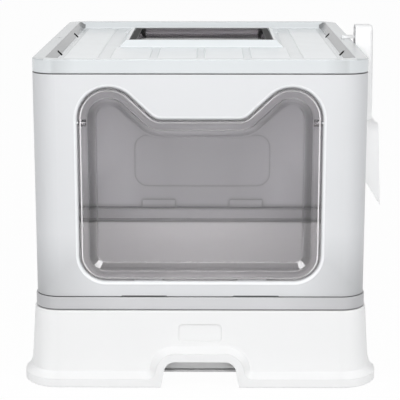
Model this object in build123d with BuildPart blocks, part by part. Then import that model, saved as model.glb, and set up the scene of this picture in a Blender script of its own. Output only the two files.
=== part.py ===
# Covered litter box with a pull-out drawer, a swing door, a top hatch and a hanging scoop.
# Front is -Y, +Z is up, and the origin is the middle of the underside. Millimetres.

import os
from math import atan, degrees, radians, sin, tan

from build123d import *

os.makedirs("parts", exist_ok=True)

# Plan of the walls, and the heights of the pieces that stand on each other
body_width = 382.0
body_depth = 478.0
corner_radius = 28.0
base_top = 90.5
ring_height = 15.0
shell_height = 259.8
lid_height = 15.7

# Wall thicknesses and clearances
wall = 2.4
base_wall = 3.0
seam_gap = 0.3
slide_gap = 0.6
seam_chamfer = 0.7

# Two places nearer to each other than this count as the same, and a cut starts this far outside
same_place = 0.01
cut_start = 1.0

# Base: how far its outline stands outside the walls above it, and its flared foot
base_top_grow = 3.0
floor_grow = 9.1
foot_height = 11.0
foot_chamfer = 1.5
base_top_chamfer = 1.5
fascia_foot = 16.0
fascia_flare = 7.0
housing_foot = 13.0
housing_flare = 4.0

# Drawer front and its hand notch, whose sides splay towards the floor
fascia_return = 42.0
fascia_lift = 0.8
notch_half = 39.5
notch_height = 31.5
notch_splay = 0.2
notch_radius = 12.5
bead_width = 9.7
bead_run_out = 10.0
plate_width = 50.0
plate_height = 20.5
plate_radius = 5.0
plate_drop = 27.0
plate_depth = 1.2
apron_length = 300.0
apron_seat = 9.0
apron_root = 2.0

# Housing floor and runners
floor_thickness = 2.5
runner_height = 2.2
runner_width = 8.0
runner_half_pitch = 120.0

# Litter tray
tray_wall = 2.4
tray_lift = 0.3
tray_drop = 6.0
tray_side_gap = 7.0
tray_front_set = 13.0
tray_draft = 6.0
tray_front_lean = 27.0
tray_corner = 26.0
tray_rim = 3.0

# Ring
ring_grow = 1.5
ring_wall = 2.5
ring_band = 16.5
ring_lip = 7.0
ring_lip_wall = 1.9

# Wall panels
panel_return = 36.0
tongue_width = 10.0
tongue_thickness = 2.0
tab_width = 48.0
tab_depth = 9.0
tab_half_pitch = 64.5
tab_thickness = 2.2
tab_root = 12.0
seam_notch_height = 1.0
seam_notch_margin = 0.8
tab_gap = 0.4
emboss_width = 200.0
emboss_height = 78.0
emboss_rise = 71.0
emboss_radius = 20.0
emboss_depth = 1.3
emboss_line = 2.0

# Door opening in the front wall, whose upper corners are ear-shaped
door_side = 52.0
door_sill = 18.7
door_head = 15.8
ear_radius = 35.5
ear_slope = 43.0
brow_drop = 36.3
brow_radius = 17.0
door_bottom_radius = 31.0
collar_depth = 5.0
collar_wall = 2.4
collar_chamfer = 3.2

# Swing door
door_gap = 2.2
door_set_back = 1.0
door_wall = 2.4
door_band = 12.0
door_step = 8.5
door_dish = 7.0
door_side_shift = 0.8
door_notch_half_pitch = 60.0
door_notch_width = 33.5
door_notch_height = 2.0
hinge_drop = 4.2
hinge_set_back = 4.0
hinge_barrel_radius = 4.0
hinge_barrel_length = 8.0
hinge_pin_radius = 2.0
hinge_clearance = 0.05
hinge_boss_length = 10.0
hinge_boss_half = 5.0

# Lid
rim_width = 15.0
deck_drop = 9.0
lid_slope = 45.0
lid_wall = 2.5
lid_lip_width = 2.2
lid_lip_depth = 8.0
lid_lip_gap = 0.6
pad_height = 1.2
groove_width = 8.0
groove_pitch = 55.5
pad_slope = 45.0
pad_gap = 5.0
side_pad_edge = 121.0
rim_chamfer = 1.0
drain_width = 5.0
drain_length = 13.0
drain_half_pitch_y = 106.0
drain_middle_y = -9.0
rim_hole_radius = 3.0
rim_hole_inset = 9.0

# Top opening and hatch
opening_width = 183.0
opening_depth = 162.0
opening_front = 217.0
lip_width = 3.5
ledge_width = 3.5
ledge_thickness = 2.0
hatch_gap = 1.5
hatch_set_down = 0.6
hatch_wall = 2.4
hatch_band = 7.0
hatch_step = 3.5
hatch_dish = 7.0
hatch_side_shift = 1.3
dish_corner = 8.0
ledge_stop = 20.0
hatch_barrel_radius = 3.0
hatch_barrel_length = 9.0
hatch_pin_radius = 1.5
hatch_axis_inset = 4.5
hatch_pin_hold = 6.0
finger_hole_radius = 3.0
finger_hole_half_pitch = 39.0
finger_hole_from_front = 119.0

# Scoop
scoop_gap = 5.0
scoop_wall = 2.4
scoop_rise = 17.5
handle_width = 27.0
handle_depth = 22.5
handle_lean = 2.5
handle_length = 121.0
head_length = 113.0
head_depth = 30.0
head_lean = 5.0
head_corner = 14.0
handle_corner = 8.0
mouth_rise = 56.0
head_top_width = 84.0
head_mouth_width = 108.0
slot_rows = 2
slot_count = 9
slot_width = 4.2
slot_length = 36.0
slot_pitch = 9.2
slot_row_pitch = 43.0
hook_thickness = 3.6
hook_width = 9.0
peg_radius = 2.6
peg_length = 12.0

ring_top = base_top + ring_height
shell_top = ring_top + shell_height
lid_top = shell_top + lid_height
front_y = -body_depth / 2
back_y = body_depth / 2
side_x = body_width / 2
split_y = front_y + fascia_return
fascia_top = base_top - slide_gap
face_lean = (floor_grow - base_top_grow) / base_top
lean_angle = degrees(atan(face_lean))
plate_middle = base_top - plate_drop
tray_bottom = floor_thickness + runner_height + tray_lift
tray_top = base_top - tray_drop
ledge_height = tray_top - tray_wall
lip_inset = base_wall - base_top_grow + seam_gap
tab_x = side_x - wall - tab_thickness / 2
tab_y = back_y - wall - tab_thickness / 2
emboss_middle = ring_top + emboss_rise
door_half = side_x - door_side
door_bottom = ring_top + door_sill
ear_top = shell_top - door_head
brow_height = ear_top - brow_drop
hinge_y = front_y + hinge_set_back
hinge_z = brow_height - hinge_drop
boss_front = front_y + wall / 2
boss_back = hinge_y + hinge_boss_half
door_face = -front_y - door_set_back
door_edge = door_half - door_gap
deck_top = lid_top - deck_drop
deck_bottom = deck_top - lid_wall
opening_middle_y = front_y + opening_front + opening_depth / 2
hatch_top = lid_top - hatch_set_down
ledge_top = hatch_top - hatch_wall
hatch_half = opening_width / 2 - hatch_gap
hatch_taper = degrees(atan(hatch_step / hatch_dish))
hatch_axis_y = front_y + opening_front + opening_depth - hatch_gap - hatch_axis_inset
hatch_axis_z = hatch_top - hatch_barrel_radius
rim_hole_x = side_x - rim_hole_inset
scoop_x = side_x + scoop_gap
skirt_inset = wall + lid_lip_gap + lid_lip_width
slope_run = deck_drop * tan(radians(lid_slope))
slope_shift = lid_wall / sin(radians(lid_slope))
drain_x = side_x - rim_width - slope_run + drain_width / 2
scoop_top = lid_top + scoop_rise
head_top = scoop_top - handle_length
head_bottom = head_top - head_length
slot_middle = (head_top + head_bottom) / 2


def plan(inset):
    """Rounded outline of the walls, set in by inset, or out where it is negative."""
    RectangleRounded(body_width - 2 * inset, body_depth - 2 * inset, corner_radius - inset)


def grow_at(height):
    """How far the base's leaning wall stands outside the walls above it, at one height."""
    return base_top_grow + face_lean * (base_top - height)


def notch_outline(grow):
    """Arch of the hand notch, grown all round, which runs on below the floor line."""
    foot_half = notch_half + 2 * notch_splay * notch_height
    with BuildSketch(mode=Mode.PRIVATE) as arch:
        with BuildLine():
            Polyline(
                (-foot_half, -notch_height),
                (-notch_half, notch_height),
                (notch_half, notch_height),
                (foot_half, -notch_height),
                close=True,
            )
        make_face()
        fillet(arch.vertices().group_by(Axis.Y)[-1], notch_radius)
        if grow:
            offset(amount=grow)
    add(arch.sketch)


def lip_outline():
    """Front view of the foot's lip, which rises as a bead over the notch."""
    straight = body_width - 2 * corner_radius
    with BuildSketch(mode=Mode.PRIVATE) as lip:
        notch_outline(bead_width)
        with Locations((0, foot_height / 2)):
            Rectangle(straight, foot_height)
        with Locations((0, -straight / 2)):
            Rectangle(straight, straight, mode=Mode.SUBTRACT)
        joints = lip.vertices().filter_by(lambda v: abs(v.Y - foot_height) < same_place)
        fillet(joints.sort_by(SortBy.DISTANCE)[:2], bead_run_out)
    add(lip.sketch)


def crease_edges(form, top):
    """Edges where the base's leaning walls meet its foot and its bead."""
    slopes = form.faces().filter_by(lambda f: f.bounding_box().max.Z > top - same_place)
    slopes = slopes.filter_by(lambda f: abs(f.normal_at().Z - face_lean) < same_place)
    inner = form.edges().filter_by(lambda e: same_place < (e @ 0.5).Z < top - same_place)
    return inner.filter_by(
        lambda e: len(slopes.filter_by(lambda f: f.distance_to(e @ 0.5) < same_place)) == 1
    )


def base_form(inset, foot, flare, beaded=False):
    """Outer form of the base, set in by inset: leaning walls, and a foot that flares out.

    The front's foot has a bead over the notch, and the flare runs round it into the wall.
    """
    with BuildPart() as form:
        top = base_top - inset
        with BuildSketch(Plane.XY.offset(top)):
            plan(inset - grow_at(top))
        extrude(amount=-top, taper=-lean_angle)
        with BuildSketch(Plane.XY):
            plan(inset - foot)
        extrude(amount=foot_height - inset)
        if beaded:
            with BuildSketch(Plane.XZ.offset(foot - front_y)):
                lip_outline()
            extrude(amount=-foot)
        if flare:
            chamfer(crease_edges(form, top), flare)
        if inset == 0:
            chamfer(form.faces().sort_by(Axis.Z)[-1].outer_wire().edges(), base_top_chamfer)
            chamfer(form.faces().sort_by(Axis.Z)[0].outer_wire().edges(), foot_chamfer)
    return form.part


def door_outline(inset):
    """Outline of the door opening, set in by inset, with an ear at each upper corner."""
    turn = radians(90 + ear_slope)
    apex = ear_top - ear_radius + ear_radius * tan(turn / 2)
    brow_half = door_half - (apex - brow_height) / tan(radians(ear_slope))
    with BuildSketch(mode=Mode.PRIVATE) as outline:
        with BuildLine():
            Polyline(
                (-door_half, door_bottom),
                (-door_half, apex),
                (-brow_half, brow_height),
                (brow_half, brow_height),
                (door_half, apex),
                (door_half, door_bottom),
                close=True,
            )
        make_face()
        fillet(outline.vertices().group_by(Axis.Y)[-1], ear_radius)
        brow = outline.vertices().filter_by(lambda v: abs(v.Y - brow_height) < same_place)
        fillet(brow, brow_radius)
        fillet(outline.vertices().group_by(Axis.Y)[0], door_bottom_radius)
        offset(amount=-inset)
    add(outline.sketch)


# Base housing: floor with runners, leaning side and rear walls, and a flared foot
with BuildPart() as base_housing:
    add(base_form(0, housing_foot, housing_flare))
    with BuildSketch(Plane.XY.offset(base_top)):
        plan(base_wall - base_top_grow)
    extrude(amount=floor_thickness - base_top, taper=-lean_angle, mode=Mode.SUBTRACT)
    with BuildSketch(Plane.XY):
        with Locations((0, split_y - body_depth)):
            Rectangle(2 * body_width, 2 * body_depth)
    extrude(amount=base_top, mode=Mode.SUBTRACT)
    with BuildSketch(Plane.XY.offset(floor_thickness)):
        runner_length = back_y - split_y - corner_radius
        with Locations((0, split_y + runner_length / 2)):
            with GridLocations(2 * runner_half_pitch, 1, 2, 1):
                Rectangle(runner_width, runner_length)
    extrude(amount=runner_height)
base_housing.part.label = "base_housing"
export_step(base_housing.part, "parts/base_housing.step")

# Plane of the drawer front's face, which leans forward towards its foot
plate_plane = Plane(
    origin=(0, front_y - grow_at(plate_middle), plate_middle),
    x_dir=(1, 0, 0),
    z_dir=(0, -1, face_lean),
)

# Drawer front: fascia open below and behind, with a beaded hand notch and a plain recess
with BuildPart() as drawer_front:
    add(base_form(0, fascia_foot, fascia_flare, beaded=True))
    add(base_form(base_wall, fascia_foot, 0), mode=Mode.SUBTRACT)
    with BuildSketch(Plane.XY.offset(base_top - 2 * base_wall)):
        plan(ring_band - ring_grow)
    extrude(amount=2 * base_wall, mode=Mode.SUBTRACT)
    with BuildSketch(Plane.XZ.offset(fascia_foot - front_y)):
        notch_outline(0)
    extrude(amount=-(fascia_foot + fascia_return), mode=Mode.SUBTRACT)
    with BuildSketch(plate_plane):
        RectangleRounded(plate_width, plate_height, plate_radius)
    extrude(amount=-plate_depth, mode=Mode.SUBTRACT)
    with BuildSketch(Plane.XY.offset(ledge_height - base_wall)):
        with Locations((0, front_y + (apron_seat - apron_root) / 2)):
            Rectangle(apron_length, apron_seat + apron_root)
    extrude(amount=base_wall)
    with BuildSketch(Plane.XY.offset(fascia_lift)):
        with Locations((0, split_y - seam_gap - body_depth)):
            Rectangle(2 * body_width, 2 * body_depth)
    extrude(amount=fascia_top - fascia_lift, mode=Mode.INTERSECT)
drawer_front.part.label = "drawer_front"
export_step(drawer_front.part, "parts/drawer_front.step")


def tray_section(height, inset):
    """Plan of the litter tray at one height, narrower and further back towards its floor."""
    drop = (tray_top - height) / (tray_top - tray_bottom)
    front = front_y + tray_front_set + tray_front_lean * drop + inset
    back = back_y - tray_side_gap - tray_draft * drop - inset
    half = side_x - tray_side_gap - tray_draft * drop - inset
    with Locations((0, (front + back) / 2)):
        RectangleRounded(2 * half, back - front, tray_corner - inset)


# Litter tray: drafted pan with a rolled rim, whose front edge lies on the fascia's ledge
with BuildPart() as drawer_tray:
    for height in (tray_bottom, tray_top):
        with BuildSketch(Plane.XY.offset(height)):
            tray_section(height, 0)
    loft(ruled=True)
    with BuildSketch(Plane.XY.offset(tray_top - tray_wall)):
        tray_section(tray_top, -tray_rim)
        with Locations((0, front_y + (tray_front_set + seam_gap) / 2)):
            Rectangle(apron_length, tray_front_set - seam_gap)
    extrude(amount=tray_wall)
    for height in (tray_bottom + tray_wall, tray_top):
        with BuildSketch(Plane.XY.offset(height)):
            tray_section(height, tray_wall)
    loft(ruled=True, mode=Mode.SUBTRACT)
drawer_tray.part.label = "drawer_tray"
export_step(drawer_tray.part, "parts/drawer_tray.step")

# Middle ring: channel-section frame with a locating lip and slots for the walls' tabs
with BuildPart() as middle_ring:
    with BuildSketch(Plane.XY.offset(base_top)):
        plan(-ring_grow)
        with BuildSketch(mode=Mode.PRIVATE) as ring_hole:
            plan(ring_band - ring_grow)
        add(ring_hole.sketch, mode=Mode.SUBTRACT)
    extrude(amount=ring_top - base_top)
    with BuildSketch(Plane.XY.offset(base_top)):
        plan(lip_inset + ring_lip_wall)
        with BuildSketch(mode=Mode.PRIVATE) as channel_hole:
            plan(ring_band - ring_grow - ring_wall)
        add(channel_hole.sketch, mode=Mode.SUBTRACT)
    extrude(amount=ring_top - base_top - ring_wall, mode=Mode.SUBTRACT)
    with BuildSketch(Plane.XY.offset(base_top - ring_lip)):
        plan(lip_inset)
        with BuildSketch(mode=Mode.PRIVATE) as lip_hole:
            plan(lip_inset + ring_lip_wall)
        add(lip_hole.sketch, mode=Mode.SUBTRACT)
        with Locations((0, split_y - body_depth)):
            Rectangle(3 * body_width, 2 * body_depth, mode=Mode.SUBTRACT)
    extrude(amount=ring_lip)
    with BuildSketch(Plane.XY.offset(ring_top)):
        with GridLocations(2 * tab_half_pitch, 2 * tab_y, 2, 2):
            Rectangle(tab_width + 2 * tab_gap, tab_thickness + 2 * tab_gap)
        with GridLocations(2 * tab_x, 2 * tab_half_pitch, 2, 2):
            Rectangle(tab_thickness + 2 * tab_gap, tab_width + 2 * tab_gap)
    extrude(amount=-ring_wall, mode=Mode.SUBTRACT)
    chamfer(middle_ring.faces().sort_by(Axis.Z)[-1].outer_wire().edges(), seam_chamfer)
middle_ring.part.label = "middle_ring"
export_step(middle_ring.part, "parts/middle_ring.step")


def outer_edge(edge):
    """True for an edge that lies on the walls' outer outline."""
    point = edge @ 0.5
    at_end = abs(abs(point.Y) - back_y) < same_place
    at_side = abs(abs(point.X) - side_x) < same_place
    middle_x = side_x - corner_radius
    middle_y = back_y - corner_radius
    corner_run = (Vector(abs(point.X), abs(point.Y)) - Vector(middle_x, middle_y)).length
    in_corner = abs(point.X) > middle_x and abs(point.Y) > middle_y
    return at_end or at_side or (in_corner and abs(corner_run - corner_radius) < same_place)


def cornered_wall():
    """End wall with both rounded corners, its tongues behind the side walls and its tabs."""
    with BuildPart() as form:
        with BuildSketch(Plane.XY.offset(ring_top)):
            plan(0)
            with BuildSketch(mode=Mode.PRIVATE) as room:
                plan(wall)
            add(room.sketch, mode=Mode.SUBTRACT)
            with Locations((0, front_y + panel_return + body_depth)):
                Rectangle(3 * body_width, 2 * body_depth, mode=Mode.SUBTRACT)
        extrude(amount=shell_top - ring_top)
        chamfer(form.faces().sort_by(Axis.Z)[-1].edges().filter_by(outer_edge), seam_chamfer)
        chamfer(form.faces().sort_by(Axis.Z)[0].edges().filter_by(outer_edge), seam_chamfer)
        tongue_height = shell_top - ring_top - lid_lip_depth - 2 * wall
        with BuildSketch(Plane.XY.offset(ring_top + wall)):
            with Locations((0, front_y + panel_return - tongue_width)):
                with GridLocations(2 * side_x - 2 * wall - tongue_thickness, 1, 2, 1):
                    Rectangle(tongue_thickness, tongue_width)
            with Locations((0, front_y + panel_return)):
                with GridLocations(2 * (side_x - wall - seam_gap) - tongue_thickness, 1, 2, 1):
                    Rectangle(tongue_thickness, 2 * tongue_width)
        extrude(amount=tongue_height)
        with BuildSketch(Plane.XY.offset(ring_top - tab_depth)):
            with Locations((0, -tab_y)):
                with GridLocations(2 * tab_half_pitch, 1, 2, 1):
                    Rectangle(tab_width, tab_thickness)
        extrude(amount=tab_depth + tab_root)
        with BuildSketch(Plane.XY.offset(ring_top)):
            with Locations((0, front_y + wall / 2)):
                with GridLocations(2 * tab_half_pitch, 1, 2, 1):
                    Rectangle(tab_width + 2 * seam_notch_margin, wall)
        extrude(amount=seam_notch_height, mode=Mode.SUBTRACT)
    return form.part


# Front wall: door opening with a bevelled collar, and bosses that hold the door's pins
with BuildPart() as front_panel:
    add(cornered_wall())
    with BuildSketch(Plane.XZ.offset(-front_y - wall)):
        door_outline(-collar_wall)
    extrude(amount=-collar_depth)
    for side in (-1, 1):
        with BuildSketch(Plane.YZ.offset(side * door_half)):
            with Locations(((boss_front + boss_back) / 2, hinge_z)):
                Rectangle(boss_back - boss_front, 2 * hinge_boss_half)
        extrude(amount=side * hinge_boss_length)
    with BuildSketch(Plane.XZ.offset(cut_start - front_y)):
        door_outline(0)
    extrude(amount=-(cut_start + wall + collar_depth + hinge_boss_half), mode=Mode.SUBTRACT)
    front_faces = front_panel.faces().filter_by(Axis.Y).group_by(Axis.Y)[0]
    opening_edge = front_faces.sort_by(SortBy.AREA)[-1].inner_wires()[0].edges()
    chamfer(opening_edge, collar_chamfer)
    for side in (-1, 1):
        with BuildSketch(Plane.YZ.offset(side * door_edge)):
            with Locations((hinge_y, hinge_z)):
                Circle(hinge_pin_radius)
        extrude(amount=side * (door_gap + hinge_boss_length - wall / 2), mode=Mode.SUBTRACT)
front_panel.part.label = "front_panel"
export_step(front_panel.part, "parts/front_panel.step")

# Rear wall: the cornered wall turned round, with a raised panel pressed outwards
with BuildPart() as back_panel:
    add(cornered_wall(), rotation=(0, 0, 180))
    with BuildSketch(Plane.XZ.offset(-back_y - emboss_depth)):
        with Locations((0, emboss_middle)):
            RectangleRounded(
                emboss_width + 2 * emboss_line,
                emboss_height + 2 * emboss_line,
                emboss_radius + emboss_line,
            )
    extrude(amount=wall)
    with BuildSketch(Plane.XZ.offset(wall - back_y)):
        with Locations((0, emboss_middle)):
            RectangleRounded(emboss_width, emboss_height, emboss_radius)
    extrude(amount=-emboss_depth, mode=Mode.SUBTRACT)
back_panel.part.label = "back_panel"
export_step(back_panel.part, "parts/back_panel.step")


def side_wall(side):
    """Flat side wall between the two cornered walls, with two tabs that enter the ring."""
    with BuildPart() as form:
        length = body_depth - 2 * panel_return - 2 * seam_gap
        with BuildSketch(Plane.XY.offset(ring_top)):
            with Locations((side * (side_x - wall / 2), 0)):
                Rectangle(wall, length)
        extrude(amount=shell_top - ring_top)
        outer = form.faces().sort_by(Axis.X)[-1 if side > 0 else 0].edges()
        chamfer(outer.filter_by(Axis.Y), seam_chamfer)
        with BuildSketch(Plane.XY.offset(ring_top - tab_depth)):
            with Locations((side * tab_x, 0)):
                with GridLocations(1, 2 * tab_half_pitch, 1, 2):
                    Rectangle(tab_thickness, tab_width)
        extrude(amount=tab_depth + tab_root)
        with BuildSketch(Plane.XY.offset(ring_top)):
            with Locations((side * (side_x - wall / 2), 0)):
                with GridLocations(1, 2 * tab_half_pitch, 1, 2):
                    Rectangle(wall, tab_width + 2 * seam_notch_margin)
        extrude(amount=seam_notch_height, mode=Mode.SUBTRACT)
    return form.part


for side, name in ((-1, "left_panel"), (1, "right_panel")):
    panel = side_wall(side)
    panel.label = name
    export_step(panel, f"parts/{name}.step")

# Swing door: flat band with barrels for its pins, sloped steps and a dished pane
with BuildPart() as front_flap:
    with BuildSketch(Plane.XZ.offset(door_face)):
        door_outline(door_gap)
    extrude(amount=-door_wall)
    for depth, inset in ((door_wall, 0), (door_wall + door_dish, door_step)):
        with BuildSketch(Plane.XZ.offset(door_face - depth)):
            door_outline(door_gap + door_band - door_side_shift + inset)
    loft(ruled=True)
    for depth, inset in ((0, 0), (door_dish, door_step)):
        with BuildSketch(Plane.XZ.offset(door_face - depth)):
            door_outline(door_gap + door_band + inset)
    loft(ruled=True, mode=Mode.SUBTRACT)
    with BuildSketch(Plane.XZ.offset(door_face)):
        with Locations((0, door_bottom + door_gap)):
            with GridLocations(2 * door_notch_half_pitch, 1, 2, 1):
                Rectangle(door_notch_width, 2 * door_notch_height)
    extrude(amount=-door_wall, mode=Mode.SUBTRACT)
    for side in (-1, 1):
        with BuildSketch(Plane.YZ.offset(side * (door_edge - hinge_barrel_length))):
            with Locations((hinge_y, hinge_z)):
                Circle(hinge_barrel_radius)
        extrude(amount=side * hinge_barrel_length)
        with BuildSketch(Plane.YZ.offset(side * (door_edge - hinge_barrel_length + door_wall / 2))):
            with Locations((hinge_y, hinge_z)):
                Circle(hinge_pin_radius + hinge_clearance)
        extrude(amount=side * hinge_barrel_length, mode=Mode.SUBTRACT)
front_flap.part.label = "front_flap"
export_step(front_flap.part, "parts/front_flap.step")

# Pins of the swing door, held in the wall's bosses
for side, name in ((-1, "left_flap_pin"), (1, "right_flap_pin")):
    with BuildPart() as flap_pin:
        pin_start = door_edge - hinge_barrel_length + door_wall
        pin_end = door_half + hinge_boss_length - wall / 2
        with BuildSketch(Plane.YZ.offset(side * pin_start)):
            with Locations((hinge_y, hinge_z)):
                Circle(hinge_pin_radius)
        extrude(amount=side * (pin_end - pin_start - seam_gap))
    flap_pin.part.label = name
    export_step(flap_pin.part, f"parts/{name}.step")


def opening_plan(grow):
    """Outline of the top opening, grown all round."""
    with Locations((0, opening_middle_y)):
        Rectangle(opening_width + 2 * grow, opening_depth + 2 * grow)


def pad_row(front, back):
    """Pads of equal width between two Y places, split by the deck's grooves."""
    width = groove_pitch - groove_width
    for step in (-1.5, -0.5, 0.5, 1.5):
        yield step * groove_pitch, (front + back) / 2, width, back - front


# Deck pads: rows in front of and behind the opening, and a long one at each side
slope_foot = rim_width + slope_run + pad_gap
collar_foot = lip_width + slope_run + pad_gap
opening_y = front_y + opening_front
pads = list(pad_row(front_y + slope_foot, opening_y - collar_foot))
pads += pad_row(opening_y + opening_depth + collar_foot, back_y - slope_foot)
side_pad_width = side_x - slope_foot - side_pad_edge
for side in (-1, 1):
    side_pad_x = side * (side_pad_edge + side_pad_width / 2)
    pads.append((side_pad_x, 0, side_pad_width, body_depth - 2 * slope_foot))

# Space under the lid's rim, between the skirt and the slope down to the deck
with BuildPart() as rim_hollow:
    with BuildSketch(Plane.XY.offset(deck_bottom)):
        plan(skirt_inset)
    extrude(amount=deck_drop)
    with BuildSketch(Plane.XY.offset(lid_top - lid_wall)):
        plan(rim_width - slope_shift)
    extrude(amount=-deck_drop, taper=lid_slope, mode=Mode.SUBTRACT)

# Lid: rim and skirt, sunk deck with soft pads, and the collar of the top opening
with BuildPart() as lid:
    with BuildSketch(Plane.XY.offset(shell_top)):
        plan(0)
    extrude(amount=lid_top - shell_top)
    chamfer(lid.faces().sort_by(Axis.Z)[-1].edges(), rim_chamfer)
    chamfer(lid.faces().sort_by(Axis.Z)[0].edges(), seam_chamfer)
    with BuildSketch(Plane.XY.offset(lid_top)):
        plan(rim_width)
    extrude(amount=-deck_drop, taper=lid_slope, mode=Mode.SUBTRACT)
    with BuildSketch(Plane.XY.offset(shell_top)):
        plan(skirt_inset)
    extrude(amount=deck_bottom - shell_top, mode=Mode.SUBTRACT)
    add(rim_hollow.part, mode=Mode.SUBTRACT)
    with BuildSketch(Plane.XY.offset(lid_top)):
        opening_plan(lip_width)
    extrude(amount=-deck_drop, taper=-lid_slope)
    with BuildSketch(Plane.XY.offset(deck_bottom)):
        opening_plan(0)
    extrude(amount=deck_drop + lid_wall, mode=Mode.SUBTRACT)
    with BuildSketch(Plane.XY.offset(ledge_top)):
        opening_plan(0)
        with Locations((0, opening_middle_y + ledge_width)):
            Rectangle(opening_width - 2 * ledge_width, opening_depth, mode=Mode.SUBTRACT)
        with Locations((0, opening_middle_y + opening_depth - ledge_stop)):
            Rectangle(opening_width, opening_depth, mode=Mode.SUBTRACT)
    extrude(amount=-ledge_thickness)
    with BuildSketch(Plane.XY.offset(shell_top - lid_lip_depth)):
        plan(wall + lid_lip_gap)
        with BuildSketch(mode=Mode.PRIVATE) as lip_room:
            plan(skirt_inset)
        add(lip_room.sketch, mode=Mode.SUBTRACT)
    extrude(amount=lid_lip_depth)
    for x, y, width, length in pads:
        with BuildSketch(Plane.XY.offset(deck_top)):
            with Locations((x, y)):
                Rectangle(width, length)
        extrude(amount=pad_height, taper=pad_slope)
    with BuildSketch(Plane.XY.offset(deck_bottom - cut_start)):
        with Locations((0, drain_middle_y)):
            with GridLocations(2 * drain_x, 2 * drain_half_pitch_y, 2, 2):
                Rectangle(drain_width, drain_length)
    extrude(amount=lid_top + cut_start - deck_bottom, mode=Mode.SUBTRACT)
    with BuildSketch(Plane.XY.offset(lid_top)):
        with GridLocations(2 * rim_hole_x, 1, 2, 1):
            Circle(rim_hole_radius)
    extrude(amount=-2 * lid_wall, mode=Mode.SUBTRACT)
    for side in (-1, 1):
        with BuildSketch(Plane.YZ.offset(side * hatch_half)):
            with Locations((hatch_axis_y, hatch_axis_z)):
                Circle(hatch_pin_radius)
        extrude(amount=side * (hatch_gap + hatch_pin_hold), mode=Mode.SUBTRACT)
lid.part.label = "lid"
export_step(lid.part, "parts/lid.step")


def dish_plan(grow):
    """Rounded outline of the hatch's dish, grown all round, inside its flat band."""
    edge = hatch_gap + hatch_band - grow
    with Locations((0, opening_middle_y)):
        RectangleRounded(opening_width - 2 * edge, opening_depth - 2 * edge, dish_corner + grow)


# Top hatch: flat band on the ledge, dished pane with two finger holes, rear barrels
with BuildPart() as top_hatch:
    with BuildSketch(Plane.XY.offset(ledge_top)):
        opening_plan(-hatch_gap)
    extrude(amount=hatch_wall)
    with BuildSketch(Plane.XY.offset(ledge_top)):
        dish_plan(hatch_side_shift)
    extrude(amount=-hatch_dish, taper=hatch_taper)
    with BuildSketch(Plane.XY.offset(hatch_top)):
        dish_plan(0)
    extrude(amount=-hatch_dish, taper=hatch_taper, mode=Mode.SUBTRACT)
    with BuildSketch(Plane.XY.offset(hatch_top - hatch_dish)):
        with Locations((0, front_y + opening_front + finger_hole_from_front)):
            with GridLocations(2 * finger_hole_half_pitch, 1, 2, 1):
                Circle(finger_hole_radius)
    extrude(amount=-hatch_wall, mode=Mode.SUBTRACT)
    for side in (-1, 1):
        with BuildSketch(Plane.YZ.offset(side * (hatch_half - hatch_barrel_length))):
            with Locations((hatch_axis_y, hatch_axis_z)):
                Circle(hatch_barrel_radius)
        extrude(amount=side * hatch_barrel_length)
        with BuildSketch(Plane.YZ.offset(side * (hatch_half - hatch_pin_hold))):
            with Locations((hatch_axis_y, hatch_axis_z)):
                Circle(hatch_pin_radius + hinge_clearance)
        extrude(amount=side * hatch_pin_hold, mode=Mode.SUBTRACT)
top_hatch.part.label = "top_hatch"
export_step(top_hatch.part, "parts/top_hatch.step")

# Pins of the hatch, held in the collar's side walls
for side, name in ((-1, "left_hatch_pin"), (1, "right_hatch_pin")):
    with BuildPart() as hatch_pin:
        pin_start = hatch_half - hatch_pin_hold + seam_gap
        pin_end = opening_width / 2 + hatch_pin_hold
        with BuildSketch(Plane.YZ.offset(side * pin_start)):
            with Locations((hatch_axis_y, hatch_axis_z)):
                Circle(hatch_pin_radius)
        extrude(amount=side * (pin_end - pin_start - seam_gap))
    hatch_pin.part.label = name
    export_step(hatch_pin.part, f"parts/{name}.step")


def scoop_head(inset, run):
    """Wedge of the scoop's head, set in by inset and run past its open mouth and back."""
    slope = (head_mouth_width - head_top_width) / 2 / head_length
    lean = head_lean / head_length
    low_z = head_bottom - run
    low_half = head_mouth_width / 2 + slope * run - inset
    with BuildPart() as form:
        with BuildSketch(Plane.XZ) as profile:
            with BuildLine():
                Polyline(
                    (scoop_x - run, head_top - inset),
                    (scoop_x + head_depth - inset, head_top - inset),
                    (scoop_x + head_depth + head_lean + lean * run - inset, low_z),
                    (scoop_x - run, low_z if run else head_bottom + mouth_rise),
                    close=True,
                )
            make_face()
        extrude(amount=head_mouth_width, both=True)
        with BuildSketch(Plane.YZ) as outline:
            with BuildLine():
                Polyline(
                    (-head_top_width / 2 + inset, head_top - inset),
                    (head_top_width / 2 - inset, head_top - inset),
                    (low_half, low_z),
                    (-low_half, low_z),
                    close=True,
                )
            make_face()
            fillet(outline.vertices().group_by(Axis.Y)[-1], head_corner - inset)
        extrude(amount=2 * side_x, mode=Mode.INTERSECT)
    return form.part


def scoop_handle(inset, run):
    """Handle of the scoop, set in by inset and run out through its open back."""
    with BuildPart() as form:
        with BuildSketch(Plane.XZ):
            with BuildLine():
                Polyline(
                    (scoop_x - run, scoop_top - inset),
                    (scoop_x + handle_depth - inset, scoop_top - inset),
                    (scoop_x + handle_depth + handle_lean - inset, head_top),
                    (scoop_x - run, head_top),
                    close=True,
                )
            make_face()
        extrude(amount=handle_width, both=True)
        with BuildSketch(Plane.YZ) as outline:
            with Locations((0, (scoop_top - inset + head_bottom) / 2)):
                Rectangle(handle_width - 2 * inset, scoop_top - inset - head_bottom)
            fillet(outline.vertices().group_by(Axis.Y)[-1], handle_corner - inset)
        extrude(amount=2 * side_x, mode=Mode.INTERSECT)
    return form.part


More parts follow.
